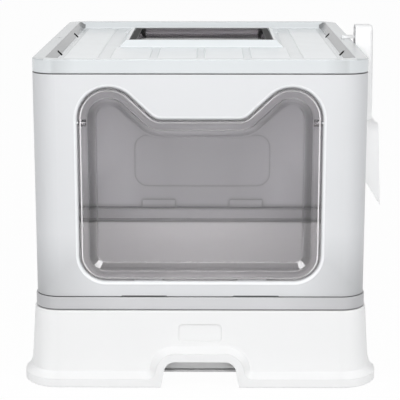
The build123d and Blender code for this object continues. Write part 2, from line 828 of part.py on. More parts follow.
# Scoop: channel handle and slotted sifting head, both open towards the box, and a peg hook
with BuildPart() as scoop:
    add(scoop_handle(0, 0))
    add(scoop_handle(scoop_wall, scoop_gap), mode=Mode.SUBTRACT)
    add(scoop_head(0, 0))
    add(scoop_head(scoop_wall, scoop_gap), mode=Mode.SUBTRACT)
    with BuildSketch(Plane.YZ.offset(scoop_x + head_depth / 2)):
        with Locations((0, slot_middle)):
            with GridLocations(slot_pitch, slot_row_pitch, slot_count, slot_rows):
                Rectangle(slot_width, slot_length)
    extrude(amount=head_depth, mode=Mode.SUBTRACT)
    hook_start = rim_hole_x - peg_radius
    hook_end = scoop_x + handle_depth - scoop_wall / 2
    with BuildSketch(Plane.XY.offset(lid_top)):
        with Locations(((hook_start + hook_end) / 2, 0)):
            Rectangle(hook_end - hook_start, hook_width)
    extrude(amount=hook_thickness)
    with BuildSketch(Plane.XY.offset(lid_top)):
        with Locations((rim_hole_x, 0)):
            Circle(peg_radius)
    extrude(amount=-peg_length)
scoop.part.label = "scoop"
export_step(scoop.part, "parts/scoop.step")
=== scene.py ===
# Covered litter box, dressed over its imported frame. Metres, front is -Y, +Z is up.

from math import radians

import bmesh
import bpy
import numpy as np
from mathutils import Matrix, Vector


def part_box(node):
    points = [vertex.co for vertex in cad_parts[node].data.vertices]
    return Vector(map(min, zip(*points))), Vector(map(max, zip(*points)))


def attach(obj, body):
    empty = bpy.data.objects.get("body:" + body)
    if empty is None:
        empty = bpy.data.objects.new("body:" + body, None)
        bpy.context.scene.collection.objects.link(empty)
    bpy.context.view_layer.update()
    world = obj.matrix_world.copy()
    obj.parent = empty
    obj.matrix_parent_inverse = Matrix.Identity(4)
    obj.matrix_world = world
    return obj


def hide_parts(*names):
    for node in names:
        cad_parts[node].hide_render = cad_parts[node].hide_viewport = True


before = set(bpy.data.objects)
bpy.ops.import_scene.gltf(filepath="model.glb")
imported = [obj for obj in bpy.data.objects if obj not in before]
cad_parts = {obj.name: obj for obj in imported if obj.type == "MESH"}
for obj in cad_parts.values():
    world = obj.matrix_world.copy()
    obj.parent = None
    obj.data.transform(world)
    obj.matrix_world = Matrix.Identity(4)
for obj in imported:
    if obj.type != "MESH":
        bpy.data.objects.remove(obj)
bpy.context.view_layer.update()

# Base housing: the white outer base that stands on the floor and carries the walls.
# It is one injection moulding of polypropylene with a fine matt grain on its faces,
# and its edges are rounded by the tool by less than a millimetre.
everywhere = 1.0  # half size, in metres, of a mark that reaches past the whole object


def linear(red, green, blue):
    """Linear colour of a display colour whose channels run from 0 to 255.

    A dark channel is divided by 12.92, and the others follow a power of 2.4.
    """
    share = np.array([red, green, blue]) / 255.0
    low = share / 12.92
    high = ((share + 0.055) / 1.055) ** 2.4
    return tuple(np.where(share <= 0.04045, low, high)) + (1.0,)


def fill(tree, node, inputs):
    """Gives a node's inputs, found by name or number, a value or another node's output."""
    for key, value in inputs.items():
        if isinstance(value, bpy.types.NodeSocket):
            tree.links.new(value, node.inputs[key])
        else:
            node.inputs[key].default_value = value
    return node


def add(tree, kind, inputs):
    """Adds a shader node of a kind and fills its inputs."""
    return fill(tree, tree.nodes.new("ShaderNode" + kind), inputs)


def maths(tree, operation, *terms, clamp=False):
    """Output of a Math node whose terms are numbers or other nodes' outputs."""
    node = tree.nodes.new("ShaderNodeMath")
    node.operation = operation
    node.use_clamp = clamp
    return fill(tree, node, dict(enumerate(terms))).outputs[0]


def vector_maths(tree, operation, inputs):
    """Outputs of a Vector Math node."""
    node = tree.nodes.new("ShaderNodeVectorMath")
    node.operation = operation
    return fill(tree, node, inputs).outputs


def scaled(tree, colour, share):
    """Colour times a share."""
    return vector_maths(tree, "SCALE", {0: colour, "Scale": share})[0]


def mixed(tree, kind, factor, first, second):
    """Output of a Mix node between two numbers or two colours, as its kind says."""
    node = tree.nodes.new("ShaderNodeMix")
    node.data_type = kind
    return fill(tree, node, {"Factor": factor, "A": first, "B": second}).outputs["Result"]


def noise(tree, place, scale, detail=2.0):
    """Value of a soft noise, with so many waves in a metre."""
    made = add(tree, "TexNoise", {"Vector": place, "Scale": scale, "Detail": detail})
    return made.outputs["Fac"]


def node_group(name, inputs, outputs):
    """New shader node group, the outputs of its input node, and its output node."""
    group = bpy.data.node_groups.new(name, "ShaderNodeTree")
    for title, kind, value in inputs:
        made = group.interface.new_socket(
            name=title, in_out="INPUT", socket_type="NodeSocket" + kind)
        made.default_value = value
    for title, kind in outputs:
        group.interface.new_socket(
            name=title, in_out="OUTPUT", socket_type="NodeSocket" + kind)
    given = group.nodes.new("NodeGroupInput").outputs
    return group, given, group.nodes.new("NodeGroupOutput")


def moulded_skin_group():
    """Skin of an injection moulding: cloudy tone, matt grain, slow waviness and soft edges.

    Crease shade is painted shade: it darkens the inside corners, by its share of what the
    nearby faces hide.
    """
    group, given, result = node_group("moulded_skin", [
        ("Colour", "Color", (0.8, 0.8, 0.8, 1.0)), ("Cloud", "Float", 0.02),
        ("Roughness", "Float", 0.4), ("Grain", "Float", 0.2), ("Edge", "Float", 0.0008),
        ("Crease shade", "Float", 0.0), ("Reach", "Float", 0.008),
    ], [("Colour", "Color"), ("Roughness", "Float"), ("Normal", "Vector")])
    place = add(group, "TexCoord", {}).outputs["Object"]

    centred = maths(group, "SUBTRACT", noise(group, place, scale=9.0, detail=3.0), 0.5)
    cloudy = maths(group, "MULTIPLY_ADD", centred, given["Cloud"], 1.0)
    tinted = scaled(group, given["Colour"], cloudy)
    # Painted shade in corners and creases, from how much the nearby faces hide.
    nearby = add(group, "AmbientOcclusion", {"Distance": given["Reach"]})
    nearby.samples = 8
    hidden = maths(group, "SUBTRACT", 1.0, nearby.outputs["AO"])
    lost = maths(group, "MULTIPLY", hidden, given["Crease shade"])
    left = maths(group, "SUBTRACT", 1.0, lost, clamp=True)

    gloss_change = 0.12
    rubbed = maths(group, "MULTIPLY_ADD", centred, gloss_change, given["Roughness"])

    rounded = add(group, "Bevel", {"Radius": given["Edge"]})
    rounded.samples = 6
    wavy = add(group, "Bump", {
        "Strength": 0.25, "Distance": 0.0012,
        "Height": noise(group, place, scale=14.0, detail=1.0),
        "Normal": rounded.outputs["Normal"],
    })
    matt = add(group, "Bump", {
        "Strength": given["Grain"], "Distance": 0.00005,
        "Height": noise(group, place, scale=1400.0),
        "Normal": wavy.outputs["Normal"],
    })
    fill(group, result, {
        "Colour": scaled(group, tinted, left), "Roughness": rubbed,
        "Normal": matt.outputs["Normal"],
    })
    return group


def box_mark_group():
    """Mask that is 1 inside a box given by its middle and half size, with soft sides.

    The mask is the least, over the three axes, of the half size less the distance to the
    middle, over the softness, kept between 0 and 1. Where a facing of length 1 is given, it
    is scaled by the cosine between that and the surface, and else it is left as it is.
    """
    group, given, result = node_group("box_mark", [
        ("Middle", "Vector", (0.0, 0.0, 0.0)), ("Half", "Vector", (1.0, 1.0, 1.0)),
        ("Softness", "Float", 0.0003), ("Mirrored", "Float", 0.0),
        ("Facing", "Vector", (0.0, 0.0, 0.0)),
    ], [("Mask", "Float")])
    coordinates = add(group, "TexCoord", {}).outputs
    place = coordinates["Object"]

    axis = add(group, "SeparateXYZ", {0: place}).outputs
    folded = vector_maths(group, "ABSOLUTE", {0: place})[0]
    both_sides = add(group, "SeparateXYZ", {0: folded}).outputs["X"]
    across = mixed(group, "FLOAT", given["Mirrored"], axis["X"], both_sides)
    point = add(group, "CombineXYZ", {"X": across, "Y": axis["Y"], "Z": axis["Z"]}).outputs[0]
    away = vector_maths(group, "SUBTRACT", {0: point, 1: given["Middle"]})[0]
    gap = vector_maths(group, "ABSOLUTE", {0: away})[0]
    room = vector_maths(group, "SUBTRACT", {0: given["Half"], 1: gap})[0]
    room_axis = add(group, "SeparateXYZ", {0: room}).outputs
    level_room = maths(group, "MINIMUM", room_axis["X"], room_axis["Y"])
    least_room = maths(group, "MINIMUM", level_room, room_axis["Z"])
    inside = maths(group, "DIVIDE", least_room, given["Softness"], clamp=True)

    cosine = vector_maths(
        group, "DOT_PRODUCT", {0: coordinates["Normal"], 1: given["Facing"]})["Value"]
    asked = vector_maths(group, "LENGTH", {0: given["Facing"]})["Value"]
    unasked = maths(group, "SUBTRACT", 1.0, asked)
    shown = maths(group, "ADD", cosine, unasked, clamp=True)
    fill(group, result, {"Mask": maths(group, "MULTIPLY", inside, shown)})
    return group


moulded_skin = moulded_skin_group()
box_mark = box_mark_group()


def new_material(name):
    """Material with nodes, with its tree and its shader."""
    made = bpy.data.materials.new(name)
    made.use_nodes = True
    return made, made.node_tree, made.node_tree.nodes["Principled BSDF"]


def skinned(tree, values):
    """Lays the moulded skin, with its values, over a material's shader."""
    skin = tree.nodes.new("ShaderNodeGroup")
    skin.name = "skin"
    skin.node_tree = moulded_skin
    fill(tree, skin, values)
    fill(tree, tree.nodes["Principled BSDF"], {
        "Base Color": skin.outputs["Colour"],
        "Roughness": skin.outputs["Roughness"],
        "Normal": skin.outputs["Normal"],
    })
    return skin


def moulded_plastic(name, colour, cloud, roughness, grain, edge, crease_shade=0.5):
    """Opaque moulded plastic, whose tone, gloss and edges come from the moulded skin."""
    plastic, tree, shader = new_material(name)
    fill(tree, shader, {"IOR": 1.49})
    skinned(tree, {
        "Colour": colour, "Cloud": cloud, "Roughness": roughness, "Grain": grain,
        "Edge": edge, "Crease shade": crease_shade,
    })
    return plastic


def box_marked(tree, values):
    """Mask of a box mark, with its values, placed in a material."""
    mark = tree.nodes.new("ShaderNodeGroup")
    mark.node_tree = box_mark
    return fill(tree, mark, values).outputs["Mask"]


def paint_light_and_shade(plastic, marks):
    """Mixes darker or paler tones into a plastic's colour, inside the boxes given.

    The marks paint light and shade into the colour. Each mark is a middle, a half size, a
    softness, whether it shows at both sides, the share of the colour that is left there, and
    where it has one, the way its faces look.
    """
    tree = plastic.node_tree
    shader = tree.nodes["Principled BSDF"]
    colour = shader.inputs["Base Color"].links[0].from_socket
    for name, (middle, half, softness, mirrored, left, *facing) in marks.items():
        values = {"Middle": middle, "Half": half, "Softness": softness,
                  "Mirrored": float(mirrored)}
        if facing:
            values["Facing"] = facing[0]
        share = add(tree, "MapRange", {
            "Value": box_marked(tree, values), "To Min": 1.0, "To Max": left})
        share.label = name
        colour = scaled(tree, colour, share.outputs[0])
    fill(tree, shader, {"Base Color": colour})


def finish_node(name, material):
    """Gives a carried-over node its finish."""
    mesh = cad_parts[name].data
    mesh.materials.clear()
    mesh.materials.append(material)


white_plastic = moulded_plastic("white_plastic", linear(239, 239, 239), cloud=0.03,
                                roughness=0.38, grain=0.25, edge=0.0009, crease_shade=0.05)
# Painted light: the base's sides are painted paler, as the light they catch.
paint_light_and_shade(white_plastic, {
    "painted light on the base's sides": ((0.215, 0.0, 0.04), (0.05, everywhere, everywhere), 0.035, True, 1.16),
})
finish_node("base_housing", white_plastic)

# Drawer front: the white fascia of the pull-out drawer, with its hand notch and plain recess.
# It is moulded in the same white polypropylene as the housing, and slides out with the tray.
finish_node("drawer_front", white_plastic)

# Litter tray: the deep white pan that lies behind the fascia and holds the litter.
# It is moulded in white polypropylene, polished a little more than the base's, so that
# litter slides off.
tray_plastic = moulded_plastic("tray_plastic", linear(248, 248, 248), cloud=0.03,
                               roughness=0.3, grain=0.15, edge=0.0009, crease_shade=0.3)
finish_node("drawer_tray", tray_plastic)

# Middle ring: the grey frame that lies on the base and takes the walls' tabs.
# It is a separate moulding, of the walls' light grey polypropylene.
base_top, ring_top, shell_top = 0.0905, 0.1055, 0.3653
# Height of the painted shadow line along each seam.
seam_line = 0.0012


def seam_shadow_mark(low, high, left):
    """Dark line of the shaded seam that runs round a piece between two heights."""
    # The line is painted shadow, as the shade in the gap between two pieces.
    middle = (0.0, 0.0, (low + high) / 2)
    half = (everywhere, everywhere, (high - low) / 2)
    softness = 0.0002
    return middle, half, softness, False, left


ring_plastic = moulded_plastic("ring_plastic", linear(209, 209, 211), cloud=0.03,
                               roughness=0.36, grain=0.25, edge=0.0007)
# Painted shade: a shadow line along the seam on the base, and the ring's sides painted darker.
paint_light_and_shade(ring_plastic, {
    "painted shadow in the seam on the base": seam_shadow_mark(base_top, base_top + seam_line, 0.35),
    "painted shade on the ring's sides": ((0.2, 0.0, 0.1), (0.11, everywhere, everywhere), 0.09, True, 0.82),
})
finish_node("middle_ring", ring_plastic)

# Walls: four light grey panels, clipped to each other and into the ring.
# They are polypropylene mouldings, with a satin grain outside.
front_y = -0.239
to_front = (0.0, -1.0, 0.0)
wall_plastic = moulded_plastic("wall_plastic", linear(225, 226, 228), cloud=0.03,
                               roughness=0.36, grain=0.25, edge=0.0008, crease_shade=0.9)
# Painted light and shade: shadow lines in the seams and in the gaps at the front tabs, the
# sides and low parts painted darker, and inside, the rear wall painted darker low down and
# paler at its ends.
paint_light_and_shade(wall_plastic, {
    "painted shadow in the seam on the ring": seam_shadow_mark(ring_top, ring_top + seam_line, 0.2),
    "painted shadow in the seam under the lid": seam_shadow_mark(shell_top - seam_line, shell_top, 0.1),
    "painted shade on the low sides": ((0.2, 0.0, 0.09), (0.085, everywhere, 0.09), 0.075, True, 0.74),
    # painted shade towards both sides
    "sides": ((0.2, 0.0, 0.2), (0.065, everywhere, everywhere), 0.06, True, 0.9),
    # painted shade, darker towards the bottom
    "foot": ((0.0, 0.0, 0.05), (everywhere, everywhere, 0.11), 0.08, False, 0.92),
    "painted shadow in the gaps at the front tabs":
        ((0.0647, front_y, 0.1064), (0.0262, 0.006, 0.0013), 0.0003, True, 0.25),
    "painted shade on the rear wall low inside":
        ((0.0, 0.2366, 0.1), (0.11, 0.1, 0.16), 0.06, False, 0.84, to_front),
    "painted light on the rear wall's ends inside":
        ((0.17, 0.2366, 0.25), (0.08, 0.1, everywhere), 0.05, True, 1.2, to_front),
})
for wall in ("front_panel", "back_panel", "left_panel", "right_panel"):
    finish_node(wall, wall_plastic)

# Door lip: the rounded edge of the front wall round the door, which catches the light.
# It belongs to the wall's moulding, and runs from its face round into the opening.
mm = 0.001
opening_half, opening_low, ear_high = 0.139, 0.1242, 0.3495
ear_radius, ear_slope = 0.0355, radians(43.0)
brow_radius, low_radius = 0.017, 0.031
brow_high = ear_high - 0.0363
path_steps = 20


def rounded_path(corners, radii, steps):
    """Closed path through corners rounded by arcs, as points and their outward normals.

    An arc starts a radius times the tangent of half the turn before its corner, and its
    points lie a radius from its centre, along normals that turn evenly from side to side.
    Of the points of a corner with no radius, which all lie in it, one is kept.
    """
    corners = np.array(corners)
    radii = np.array(radii)[:, None]
    before = corners - np.roll(corners, 1, axis=0)
    before = before / np.linalg.norm(before, axis=1)[:, None]
    after = np.roll(before, -1, axis=0)
    cross = before[:, 0] * after[:, 1] - before[:, 1] * after[:, 0]
    turn = np.arctan2(cross, np.sum(before * after, axis=1))[:, None]
    outward = np.stack([before[:, 1], -before[:, 0]], axis=1)
    start = corners - before * radii * np.tan(np.abs(turn) / 2)
    centre = start - np.sign(turn) * radii * outward
    angle = turn * np.linspace(0.0, 1.0, steps + 1)
    across = np.cos(angle) * outward[:, :1] - np.sin(angle) * outward[:, 1:]
    along = np.sin(angle) * outward[:, :1] + np.cos(angle) * outward[:, 1:]
    normals = np.stack([across, along], axis=2)
    points = centre[:, None] + (np.sign(turn) * radii)[:, :, None] * normals
    points, normals = points.reshape(-1, 2), normals.reshape(-1, 2)
    least_step = 1e-7
    kept = np.linalg.norm(points - np.roll(points, 1, axis=0), axis=1) > least_step
    return points[kept], normals[kept]


def door_path():
    """Outline of the door opening in x and z: straight sides, a dropped brow and two ears.

    An ear's arc turns from the upright side to the brow's slope, so its corner lies the
    radius times the tangent of half the turn, less the radius, above the ear's top.
    """
    turn = radians(90.0) + ear_slope
    apex = ear_high + ear_radius * (np.tan(turn / 2) - 1.0)
    brow_half = opening_half - (apex - brow_high) / np.tan(ear_slope)
    corners = [
        (-opening_half, opening_low), (opening_half, opening_low), (opening_half, apex),
        (brow_half, brow_high), (-brow_half, brow_high), (-opening_half, apex),
    ]
    radii = [low_radius, low_radius, ear_radius, brow_radius, brow_radius, ear_radius]
    return rounded_path(corners, radii, path_steps)


def swept(points, normals, section, closed):
    """Surface of a section carried along a closed path.

    A section point lies its inset inside the path, against the path's normal, at its depth.
    The result is the grid of points, row by row, and its faces, which look outwards.
    """
    inset = section[:, 0][:, None, None]
    flat = points[None] - inset * normals[None]
    depth = np.broadcast_to(section[:, 1][:, None], flat.shape[:2])
    grid = np.concatenate([flat, depth[:, :, None]], axis=2)
    rows, count = grid.shape[:2]
    number = np.arange(rows * count).reshape(rows, count)
    inner = number if closed else number[:-1]
    outer = np.roll(number, -1, axis=0) if closed else number[1:]
    faces = [inner, outer, np.roll(outer, -1, axis=1), np.roll(inner, -1, axis=1)]
    return grid.reshape(-1, 3), np.stack(faces, axis=2).reshape(-1, 4)


def upright(points, face_y):
    """Points of a surface worked out in x, z and depth, stood up behind a front face."""
    return points[:, [0, 2, 1]] + np.array([0.0, face_y, 0.0])


def shade_smooth(mesh):
    """Shades a mesh's faces smooth, up to a crease of 30 degrees."""
    mesh.polygons.foreach_set("use_smooth", np.ones(len(mesh.polygons), dtype=bool))
    mesh.set_sharp_from_angle(angle=radians(30.0))


def smooth_surface(name, points, faces):
    """Mesh of a surface, shaded smooth."""
    mesh = bpy.data.meshes.new(name)
    mesh.from_pydata(points.tolist(), [], faces)
    shade_smooth(mesh)
    return mesh


def new_piece(name, mesh, material):
    """Object at the origin that shows a mesh in a material."""
    mesh.materials.append(material)
    piece = bpy.data.objects.new(name, mesh)
    bpy.context.collection.objects.link(piece)
    return piece


# Each corner of the lip's section has its inset, its depth and its radius.
lip_corners = np.array([
    (0.03, 3.7, 0.0), (0.03, -0.04, 3.4), (-3.8, -0.04, 0.0), (-3.6, 0.3, 0.0),
    (-0.3, 3.6, 0.0),
]) * mm
lip_section, _ = rounded_path(lip_corners[:, :2], lip_corners[:, 2], steps=10)
path_points, path_normals = door_path()
lip_points, lip_faces = swept(path_points, path_normals, lip_section, closed=True)
# Painted light: the lip is paler than the wall it belongs to, as the light that its rounded
# edge catches.
painted_light_lip = moulded_plastic("painted_light_lip", linear(243, 244, 246), cloud=0.02,
                              roughness=0.3, grain=0.1, edge=0.0003, crease_shade=0.3)
lip_mesh = smooth_surface("door_lip", upright(lip_points, front_y), lip_faces.tolist())
door_lip = new_piece("door_lip", lip_mesh, painted_light_lip)
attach(door_lip, "box")

# Swing door: a clear smoke-grey panel, dished for stiffness, that swings both ways.
# It is polished polystyrene, moulded in one with the barrels that turn on its pins.
door_tint = np.array(linear(242, 239, 241))[:3]
door_face_y = front_y + 1.0 * mm
notch_rise = 1.6 * mm
notch_ends = np.array([-76.75, -76.45, -43.55, -43.25, 43.25, 43.55, 76.45, 76.75]) * mm
notch_cut = np.array([0.0, 1.0, 1.0, 0.0, 0.0, 1.0, 1.0, 0.0])
bead_foot = 3.1 * mm


def smoky_clear(name, tint, roughness, edge, ior):
    """Clear tinted plastic, which shadow rays pass with its tint, so that the cabin is lit."""
    clear, tree, shader = new_material(name)
    fill(tree, shader, {"IOR": ior, "Transmission Weight": 1.0})
    skinned(tree, {"Cloud": 0.02, "Roughness": roughness, "Grain": 0.02, "Edge": edge})
    shadow = add(tree, "LightPath", {}).outputs["Is Shadow Ray"]
    passed = add(tree, "BsdfTransparent", {"Color": tint}).outputs[0]
    chosen = add(tree, "MixShader", {0: shadow, 1: shader.outputs[0], 2: passed})
    fill(tree, tree.nodes["Material Output"], {"Surface": chosen.outputs[0]})
    return clear


def coloured_by_tint_and_shade(plastic):
    """Colours a plastic's skin by the tint that the piece keeps at its points."""
    # The colour the piece keeps holds painted light and shade as well as the plastic's tint.
    tree = plastic.node_tree
    own = tree.nodes.new("ShaderNodeAttribute")
    own.attribute_name = "tint"
    fill(tree, tree.nodes["skin"], {"Colour": own.outputs["Color"]})


def door_section():
    """Section of the door: each corner's inset, depth and radius, in millimetres."""
    pane = [(30.0, 7.0, 0.0), (21.0, 7.0, 3.0)]
    step = [(19.3, 5.6, 0.0), (17.0, 3.71, 0.0), (15.8, 2.72, 0.0), (13.8, 1.07, 0.0)]
    band = [(12.5, 0.0, 1.2), (11.5, 0.0, 0.0), (9.3, 0.0, 0.0), (7.3, 0.0, 0.0),
            (4.8, 0.0, 0.0)]
    bead = [(4.5, 0.0, 0.1), (4.3, -0.35, 0.3), (3.3, -0.35, 0.3), (3.1, 0.0, 0.1)]
    edge = [(2.9, 0.0, 0.0), (0.9, 0.0, 1.2), (0.9, 2.4, 0.8)]
    back = [(11.7, 2.4, 2.0), (20.2, 9.4, 3.0), (30.0, 9.4, 0.0)]
    corners = np.array(pane + step + band + bead + edge + back) * mm
    return rounded_path(corners[:, :2], corners[:, 2], steps=6)[0]


def door_tint_and_shade_share(inset, normals):
    """Share of the pane's tint at an inset, from how much plastic is seen through there.

    Besides the plastic seen through, the shares are painted light and shade. The edge is deep
    all round, as painted shade for the gap round the door. The step is deep where it stands
    upright, less so below, and clear above but for a painted line at each of its bends, and
    the band is painted paler above. A share runs straight from knot to knot of the inset, and
    the three sides' shares are mixed by the squares of the normal's parts.
    """
    knots = [0.9, 2.8, 3.1, 4.5, 4.8, 7.3, 9.3, 11.5, 12.2, 13.8, 15.8, 17.0, 19.3, 20.9]
    beside = [0.4, 0.4, 1.0, 1.0, 0.96, 0.96, 0.96, 0.7, 0.33, 0.33, 0.33, 0.36, 0.5, 1.0]
    above = [0.45, 0.45, 0.5, 0.5, 1.14, 1.14, 1.14, 1.1, 0.85, 1.14, 1.14, 0.9, 1.0, 1.0]
    below = [0.4, 0.4, 0.5, 0.5, 1.08, 1.0, 0.64, 0.64, 0.64, 0.64, 0.64, 0.64, 0.64, 1.0]
    inset = inset[:, None] / mm
    side = (normals[:, 0] ** 2)[None]
    top = (np.clip(normals[:, 1], 0.0, 1.0) ** 2)[None]
    low = (np.clip(normals[:, 1], -1.0, 0.0) ** 2)[None]
    return (side * np.interp(inset, knots, beside) + top * np.interp(inset, knots, above)
            + low * np.interp(inset, knots, below))


def door_shell():
    """Points, faces, tints and bead of the door, in x, z and depth.

    The lower edge steps up at its two notches, outside the bead's foot. The front's tint is
    the door's times its share, which holds painted light and shade, and the back's is plain.
    Both grow evenly darker with the height. Two flat faces close the pane.
    """
    after_corner = path_steps + 1
    added = np.stack([notch_ends, np.full(len(notch_ends), opening_low)], axis=1)
    points = np.insert(path_points, after_corner, added, axis=0)
    normals = np.insert(path_normals, after_corner, [(0.0, -1.0)] * len(notch_ends), axis=0)
    cut = np.insert(np.zeros(len(path_points)), after_corner, notch_cut)
    section = door_section()
    grid, faces = swept(points, normals, section, closed=False)
    rows, count = len(section), len(points)
    near_edge = np.clip((bead_foot - section[:, 0]) / (0.2 * mm), 0.0, 1.0)
    grid[:, 1] += (near_edge[:, None] * cut[None] * notch_rise).reshape(-1)
    share = door_tint_and_shade_share(section[:, 0], normals)
    first_back_row = int(np.argmin(section[:, 0])) + 3
    share[first_back_row:] = 1.0
    tint_at_foot, fade_per_metre = 1.04, 0.22
    faded = tint_at_foot - fade_per_metre * (grid[:, 1] - opening_low)
    tint = (faded * share.reshape(-1))[:, None] * door_tint
    raised = section[:, 1] < -0.1 * mm
    on_bead = np.repeat(raised[:-1] | raised[1:], count)
    front_cap = list(range(count))
    back_cap = list(range(rows * count))[:-count - 1:-1]
    return grid, faces.tolist() + [front_cap, back_cap], tint, np.append(on_bead, [False] * 2)


def barrel(middle_y, middle_z, radius, bore, start, end):
    """Short tube along x for a pin: a rounded ring section carried round a circle."""
    angle = np.linspace(0.0, 2 * np.pi, 36, endpoint=False)
    way = np.stack([np.cos(angle), np.sin(angle)], axis=1)
    wall, rounding = radius - bore, 0.5 * mm
    corners = [(wall, start), (0.0, start), (0.0, end), (wall, end)]
    section, _ = rounded_path(corners, [0.0, rounding, rounding, 0.0], steps=4)
    grid, faces = swept(way * radius, way, section, closed=True)
    return grid[:, [2, 1, 0]] + np.array([0.0, middle_y, middle_z]), faces


# The door's colour is its tint times the shares, which hold painted light and shade.
door_smoke = smoky_clear("door_smoke", linear(250, 250, 250), roughness=0.03, edge=0.0003,
                         ior=1.5)
coloured_by_tint_and_shade(door_smoke)
# Painted highlight: the bead is opaque plastic, pale at the door's sides, in place of the gleam
# along its edge.
painted_bead_gleam, bead_tree, bead_shader = new_material("painted_bead_gleam")
fill(bead_tree, bead_shader, {"IOR": 1.49})
skinned(bead_tree, {"Cloud": 0.02, "Roughness": 0.2, "Grain": 0.05, "Edge": 0.0002})
coloured_by_tint_and_shade(painted_bead_gleam)

hinge_y, hinge_z = -0.235, 0.309
barrel_radius, barrel_bore, barrel_length = 4.0 * mm, 2.05 * mm, 8.0 * mm
barrel_starts = (-0.1368, 0.1288)
barrel_tint = 0.8 * door_tint
shell_points, door_faces, shell_tint_and_shade, on_bead = door_shell()
door_points, door_tints_and_shades = [upright(shell_points, door_face_y)], [shell_tint_and_shade]
for start in barrel_starts:
    tube_points, tube_faces = barrel(hinge_y, hinge_z, barrel_radius, barrel_bore,
                                     start, start + barrel_length)
    door_faces += (tube_faces + sum(len(part) for part in door_points)).tolist()
    door_points.append(tube_points)
    door_tints_and_shades.append(np.broadcast_to(barrel_tint, tube_points.shape))
door_mesh = smooth_surface("swing_door", np.concatenate(door_points), door_faces)
swing_door = new_piece("swing_door", door_mesh, door_smoke)
door_mesh.materials.append(painted_bead_gleam)
bead_slot = np.zeros(len(door_faces), dtype=np.int32)
bead_slot[:len(on_bead)] = on_bead
door_mesh.polygons.foreach_set("material_index", bead_slot)
tint_and_shade_values = np.concatenate(door_tints_and_shades)
tint_and_shade_values = np.concatenate([tint_and_shade_values, np.ones((len(tint_and_shade_values), 1))], axis=1)
own_tint_and_shade = door_mesh.attributes.new("tint", "FLOAT_COLOR", "POINT")
own_tint_and_shade.data.foreach_set("color", tint_and_shade_values.reshape(-1))
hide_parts("front_flap")
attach(swing_door, "flap")

# Pins: steel pivots of the door and the hatch, pressed into their bosses.
# They are cut from bright drawn wire, so their gloss changes in fine lines along the pin.


def drawn_steel():
    """Bright steel with a roughness that changes in fine lines along the pin."""
    steel, tree, shader = new_material("drawn_steel")
    place = add(tree, "TexCoord", {}).outputs["Object"]
    stretched = add(tree, "Mapping", {"Vector": place, "Scale": (3.0, 120.0, 120.0)})
    lines = noise(tree, stretched.outputs[0], scale=30.0)
    sheen = add(tree, "MapRange", {"Value": lines, "To Min": 0.18, "To Max": 0.4})
    fill(tree, shader, {
        "Base Color": linear(196, 198, 200), "Metallic": 1.0, "Roughness": sheen.outputs[0]})
    return steel


pin_steel = drawn_steel()
for pin in ("left_flap_pin", "right_flap_pin", "left_hatch_pin", "right_hatch_pin"):
    finish_node(pin, pin_steel)

# Lid: the pale grey top with its raised rim, sunk deck, soft pads and framed opening.
# It is a polypropylene moulding, a little cooler in tone than the walls.
slot_half = (0.0036, 0.0072, 0.006)
lid_plastic = moulded_plastic("lid_plastic", linear(237, 241, 243), cloud=0.03,
                              roughness=0.2, grain=0.25, edge=0.0009)
# Painted light and shade: the slopes, rims and skirt painted darker, the pad tops painted
# paler, and the slots and the hollow under the rim painted near black as shade.
paint_light_and_shade(lid_plastic, {
    "painted shade on the side slopes": ((0.1715, 0.0, 0.377), (0.0048, 0.22, 0.0045), 0.0008, True, 0.31),
    # painted light on the pad tops
    "pads": ((0.0, 0.0, 0.37355), (0.166, 0.225, 0.00095), 0.0003, False, 1.12),
    "painted shade on the side rims": ((0.19, 0.0, 0.383), (0.0145, everywhere, 0.0035), 0.0006, True, 0.78),
    "painted shade on the rear rim": ((0.0, 0.239, 0.379), (0.177, 0.025, 0.0085), 0.0008, False, 0.9),
    "painted shade on the front skirt":
        ((0.0, -0.2445, 0.37), (everywhere, 0.006, everywhere), 0.0006, False, 0.84),
    "painted shade on the skirt's ends": ((0.2, -0.2445, 0.37), (0.06, 0.03, everywhere), 0.05, True, 0.6),
    "painted shade in the rear slots": ((0.17, 0.097, 0.372), slot_half, 0.0005, True, 0.02),
    "painted shade in the front slots": ((0.17, -0.115, 0.372), slot_half, 0.0005, True, 0.02),
    "painted shade in the hollow under the rim": ((0.1788, 0.0, 0.362), (0.0088, 0.2, 0.0095), 0.0005, True, 0.03),
})
finish_node("lid", lid_plastic)

# Top hatch: the clear smoke-grey panel that closes the lid's opening.
# It is moulded from the door's polystyrene, and is dished with two finger holes.


def deeper_and_shaded_aslant(clear, tint, deep_and_shaded_tint):
    """Deepens a clear plastic's tint where it is seen at a slant, through more of it."""
    # Only part of the darker tint is the longer way through the plastic; the rest is painted
    # shade.
    tree = clear.node_tree
    slant = add(tree, "LayerWeight", {"Blend": 0.5}).outputs["Facing"]
    fill(tree, tree.nodes["skin"], {"Colour": mixed(tree, "RGBA", slant, tint, deep_and_shaded_tint)})


def frosted_outside(clear, middle, half, roughness):
    """Frosts a clear plastic outside a box, as the matt rim of a moulded pane."""
    tree = clear.node_tree
    shader = tree.nodes["Principled BSDF"]
    polished = shader.inputs["Roughness"].links[0].from_socket
    pane = box_marked(tree, {"Middle": middle, "Half": half, "Softness": 0.001})
    fill(tree, shader, {"Roughness": mixed(tree, "FLOAT", pane, roughness, polished)})


hatch_tint = linear(176, 172, 174)
hatch_smoke = smoky_clear("hatch_smoke", hatch_tint, roughness=0.05, edge=0.001, ior=1.2)
deeper_and_shaded_aslant(hatch_smoke, hatch_tint, linear(96, 93, 95))
# Painted shade: the hatch's sides are painted dark.
paint_light_and_shade(hatch_smoke, {
    "painted shade on the hatch's sides": ((0.095, 0.06, 0.375), (0.019, everywhere, everywhere), 0.002, True, 0.15),
})
frosted_outside(hatch_smoke, middle=(0.0, 0.059, 0.375), half=(0.083, 0.0725, everywhere),
                roughness=0.6)
finish_node("top_hatch", hatch_smoke)

